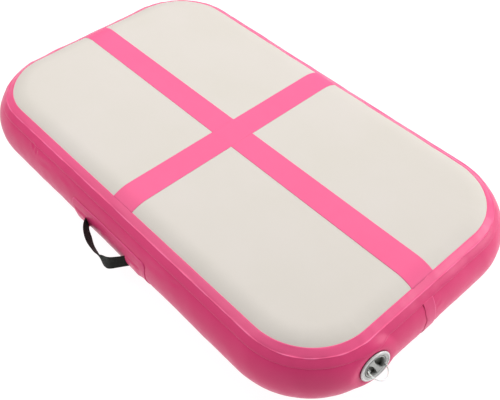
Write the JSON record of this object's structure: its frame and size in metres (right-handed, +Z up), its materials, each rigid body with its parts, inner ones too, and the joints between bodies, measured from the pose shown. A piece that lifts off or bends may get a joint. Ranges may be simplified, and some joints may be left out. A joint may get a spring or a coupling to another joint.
{
  "type": "air track mat",
  "caption": "Inflatable rounded-rectangle gymnastics mat with a striped top, bulging sides, webbing carry handles and a capped inflation valve in one end.",
  "frame": {"origin": "centre of the resting face", "axes": "+X along the mat towards the valve end, +Y across it, away from the side whose handle is called right, +Z up, from the resting face to the striped face"},
  "size_m": [1.0222, 0.6838, 0.1508],
  "materials": {
    "cream_pvc": "matt coated fabric, fine grain",
    "pink_pvc": "semi-gloss coated fabric",
    "pink_stripe": "matt coated fabric",
    "black_webbing": "woven polyester webbing",
    "yarn": "polyester yarn",
    "valve_grey": "satin silver-grey plastic",
    "black_rubber": "matt",
    "spring_steel": "bright wire",
    "ring_white": "translucent white"
  },
  "bodies": {
    "mat": {"top_panel": "cream_pvc", "bottom_panel": "cream_pvc", "sidewall_band": "pink_pvc", "sidewall_liner": "pink_pvc", "top_seam_tape": "pink_pvc", "bottom_seam_tape": "pink_pvc", "sidewall_joint_tape": "pink_pvc", "lengthwise_stripe": "pink_stripe", "crosswise_stripe": "pink_stripe", "drop_stitch_yarns": "yarn", "right_handle_patch": "pink_pvc", "right_handle_tabs": "black_webbing", "left_handle_patch": "pink_pvc", "left_handle_tabs": "black_webbing", "valve_doubler": "pink_pvc", "valve_gasket": "black_rubber", "valve_body": "valve_grey", "valve_back_nut": "valve_grey", "valve_spring": "spring_steel"},
    "right_handle": {"right_handle_loop": "black_webbing"},
    "left_handle": {"left_handle_loop": "black_webbing"},
    "stem": {"valve_stem": "valve_grey", "valve_seal_disc": "black_rubber"},
    "cap_seal": {"cap_o_ring": "black_rubber"},
    "cap": {"valve_cap": "valve_grey"},
    "bail": {"cap_bail": "ring_white"}
  },
  "joints": [
    {"name": "right_handle_swing", "type": "hinge", "parent": "mat", "child": "right_handle", "pos_m": [-0.005, -0.31403, 0.063], "axis": [1, 0, 0], "range_deg": [-110, 50], "stiffness_Nm_per_rad": 0.005, "springref_deg": -3.5},
    {"name": "left_handle_swing", "type": "hinge", "parent": "mat", "child": "left_handle", "pos_m": [-0.005, 0.31403, 0.063], "axis": [-1, 0, 0], "range_deg": [-110, 50], "stiffness_Nm_per_rad": 0.005, "springref_deg": -3.5},
    {"name": "valve_stem_press", "type": "slide", "parent": "mat", "child": "stem", "axis": [-0.9806, 0.1378, -0.1392], "range_m": [0, 0.005], "stiffness_N_per_m": 800, "springref_m": -0.004, "deforming": ["valve_spring"]},
    {"name": "cap_pull_off", "type": "slide", "parent": "mat", "child": "cap_seal", "axis": [0.9806, -0.1378, 0.1392], "range_m": [0, 0.03]},
    {"name": "cap_turn", "type": "hinge", "parent": "cap_seal", "child": "cap", "pos_m": [0.49531, -0.146, 0.08488], "axis": [0.9806, -0.1378, 0.1392], "range_deg": [0, 90]},
    {"name": "bail_swing", "type": "hinge", "parent": "cap", "child": "bail", "pos_m": [0.50188, -0.14692, 0.08581], "axis": [0.1779, 0.9239, -0.3387], "range_deg": [-105, 60]}
  ]
}
